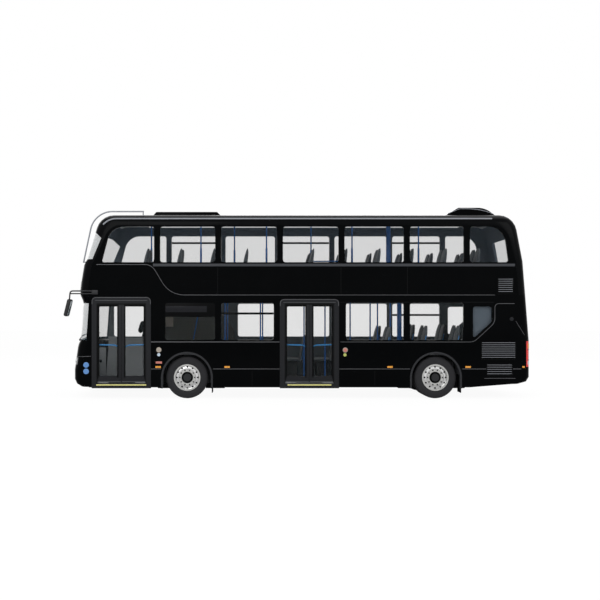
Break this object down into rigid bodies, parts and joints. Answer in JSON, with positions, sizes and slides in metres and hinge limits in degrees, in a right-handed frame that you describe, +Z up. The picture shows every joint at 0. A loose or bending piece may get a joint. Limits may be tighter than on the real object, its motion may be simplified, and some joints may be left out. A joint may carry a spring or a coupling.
{
  "type": "double-deck passenger bus",
  "caption": "Black two-door double-deck passenger bus with low floor, glazed upper and lower saloons, inward-gliding doors and twin rear wheels.",
  "frame": {"origin": "middle of the overall box on the road surface", "axes": "+X towards the rear, +Y towards the driver's side (offside), +Z up"},
  "size_m": [10.47, 2.91, 4.33],
  "materials": {
    "gloss_black": "gloss",
    "chassis_steel": "satin",
    "floor_grey": "matte",
    "tinted_glass": "clear tinted",
    "surround_grey": "satin",
    "interior_grey": "satin",
    "seat_cloth": "woven",
    "dark_plastic": "satin",
    "blue_rail": "gloss",
    "bright_tube": "satin",
    "lamp_clear": "gloss",
    "lamp_red": "gloss",
    "lamp_amber": "gloss",
    "wheel_alloy": "polished",
    "tyre_black": "matte",
    "door_black": "satin",
    "door_gear": "satin"
  },
  "bodies": {
    "body": {"chassis_frame": "chassis_steel", "lower_floor": "floor_grey", "upper_deck": "floor_grey", "roof": "gloss_black", "roof_pods": "gloss_black", "nearside_lower_wall": "gloss_black", "nearside_upper_wall": "gloss_black", "offside_lower_wall": "gloss_black", "offside_upper_wall": "gloss_black", "front_panel": "gloss_black", "front_upper_panel": "gloss_black", "rear_panel": "gloss_black", "rear_upper_panel": "gloss_black", "end_windows": "tinted_glass", "side_windows": "tinted_glass", "door_surrounds": "surround_grey", "staircase": "interior_grey", "driver_cab": "interior_grey", "seat_cushions": "seat_cloth", "seat_backs": "seat_cloth", "seat_frames": "dark_plastic", "grab_rails": "blue_rail", "arch_trims": "dark_plastic", "mirrors": "dark_plastic", "tree_guard": "bright_tube", "head_lamps": "lamp_clear", "tail_lamps": "lamp_red", "side_markers": "lamp_amber", "vent_grilles": "dark_plastic", "front_axle": "chassis_steel", "rear_axle": "chassis_steel", "battery_pack": "dark_plastic"},
    "cab_door": {"cab_door": "interior_grey"},
    "near_knuckle": {"near_knuckle": "chassis_steel"},
    "near_front_wheel": {"near_front_wheel": "wheel_alloy", "near_front_tyre": "tyre_black"},
    "off_knuckle": {"off_knuckle": "chassis_steel"},
    "off_front_wheel": {"off_front_wheel": "wheel_alloy", "off_front_tyre": "tyre_black"},
    "near_rear_wheel": {"near_rear_wheel": "wheel_alloy", "near_rear_tyres": "tyre_black"},
    "off_rear_wheel": {"off_rear_wheel": "wheel_alloy", "off_rear_tyres": "tyre_black"},
    "steering_wheel": {"steering_wheel": "dark_plastic"},
    "front_door_arm_a": {"front_door_arm_a": "door_gear"},
    "front_door_leaf_a": {"front_door_leaf_a": "door_black", "front_door_pane_a": "tinted_glass"},
    "front_door_arm_b": {"front_door_arm_b": "door_gear"},
    "front_door_leaf_b": {"front_door_leaf_b": "door_black", "front_door_pane_b": "tinted_glass"},
    "centre_door_arm_a": {"centre_door_arm_a": "door_gear"},
    "centre_door_leaf_a": {"centre_door_leaf_a": "door_black", "centre_door_pane_a": "tinted_glass"},
    "centre_door_arm_b": {"centre_door_arm_b": "door_gear"},
    "centre_door_leaf_b": {"centre_door_leaf_b": "door_black", "centre_door_pane_b": "tinted_glass"}
  },
  "joints": [
    {"name": "cab_door_hinge", "type": "hinge", "parent": "body", "child": "cab_door", "pos_m": [-3.755, 0.25, 0.8], "axis": [0, 0, 1], "range_deg": [0, 90]},
    {"name": "near_steer", "type": "hinge", "parent": "body", "child": "near_knuckle", "pos_m": [-2.545, -1, 0.47], "axis": [0, 0, 1], "range_deg": [-45, 45]},
    {"name": "near_front_spin", "type": "hinge", "parent": "near_knuckle", "child": "near_front_wheel", "pos_m": [-2.545, -1.07, 0.47], "axis": [0, 1, 0], "continuous": true},
    {"name": "off_steer", "type": "hinge", "parent": "body", "child": "off_knuckle", "pos_m": [-2.545, 1, 0.47], "axis": [0, 0, 1], "range_deg": [-45, 45]},
    {"name": "off_front_spin", "type": "hinge", "parent": "off_knuckle", "child": "off_front_wheel", "pos_m": [-2.545, 1.07, 0.47], "axis": [0, 1, 0], "continuous": true},
    {"name": "near_rear_spin", "type": "hinge", "parent": "body", "child": "near_rear_wheel", "pos_m": [3.035, -1.07, 0.47], "axis": [0, 1, 0], "continuous": true},
    {"name": "off_rear_spin", "type": "hinge", "parent": "body", "child": "off_rear_wheel", "pos_m": [3.035, 1.07, 0.47], "axis": [0, 1, 0], "continuous": true},
    {"name": "steering_wheel_turn", "type": "hinge", "parent": "body", "child": "steering_wheel", "pos_m": [-4.415, 0.7, 1.2], "axis": [0.1642, 0, 0.9864], "range_deg": [-810, 810]},
    {"name": "front_door_arm_a_turn", "type": "hinge", "parent": "body", "child": "front_door_arm_a", "pos_m": [-4.599, -1.183, 1.2], "axis": [0, 0, 1], "range_deg": [0, 80]},
    {"name": "front_door_leaf_a_turn", "type": "hinge", "parent": "front_door_arm_a", "child": "front_door_leaf_a", "pos_m": [-4.324, -1.183, 1.2], "axis": [0, 0, -1], "range_deg": [0, 160]},
    {"name": "front_door_arm_b_turn", "type": "hinge", "parent": "body", "child": "front_door_arm_b", "pos_m": [-3.435, -1.183, 1.2], "axis": [0, 0, -1], "range_deg": [0, 80]},
    {"name": "front_door_leaf_b_turn", "type": "hinge", "parent": "front_door_arm_b", "child": "front_door_leaf_b", "pos_m": [-3.71, -1.183, 1.2], "axis": [0, 0, 1], "range_deg": [0, 160]},
    {"name": "centre_door_arm_a_turn", "type": "hinge", "parent": "body", "child": "centre_door_arm_a", "pos_m": [-0.382, -1.183, 1.2], "axis": [0, 0, 1], "range_deg": [0, 80]},
    {"name": "centre_door_leaf_a_turn", "type": "hinge", "parent": "centre_door_arm_a", "child": "centre_door_leaf_a", "pos_m": [-0.107, -1.183, 1.2], "axis": [0, 0, -1], "range_deg": [0, 160]},
    {"name": "centre_door_arm_b_turn", "type": "hinge", "parent": "body", "child": "centre_door_arm_b", "pos_m": [0.782, -1.183, 1.2], "axis": [0, 0, -1], "range_deg": [0, 80]},
    {"name": "centre_door_leaf_b_turn", "type": "hinge", "parent": "centre_door_arm_b", "child": "centre_door_leaf_b", "pos_m": [0.507, -1.183, 1.2], "axis": [0, 0, 1], "range_deg": [0, 160]}
  ],
  "couplings": [
    {"joint": "off_steer", "follows": "near_steer", "ratio": 1},
    {"joint": "steering_wheel_turn", "follows": "near_steer", "ratio": 18},
    {"joint": "front_door_leaf_a_turn", "follows": "front_door_arm_a_turn", "ratio": 2},
    {"joint": "front_door_arm_b_turn", "follows": "front_door_arm_a_turn", "ratio": 1},
    {"joint": "front_door_leaf_b_turn", "follows": "front_door_arm_a_turn", "ratio": 2},
    {"joint": "centre_door_leaf_a_turn", "follows": "centre_door_arm_a_turn", "ratio": 2},
    {"joint": "centre_door_arm_b_turn", "follows": "centre_door_arm_a_turn", "ratio": 1},
    {"joint": "centre_door_leaf_b_turn", "follows": "centre_door_arm_a_turn", "ratio": 2}
  ]
}
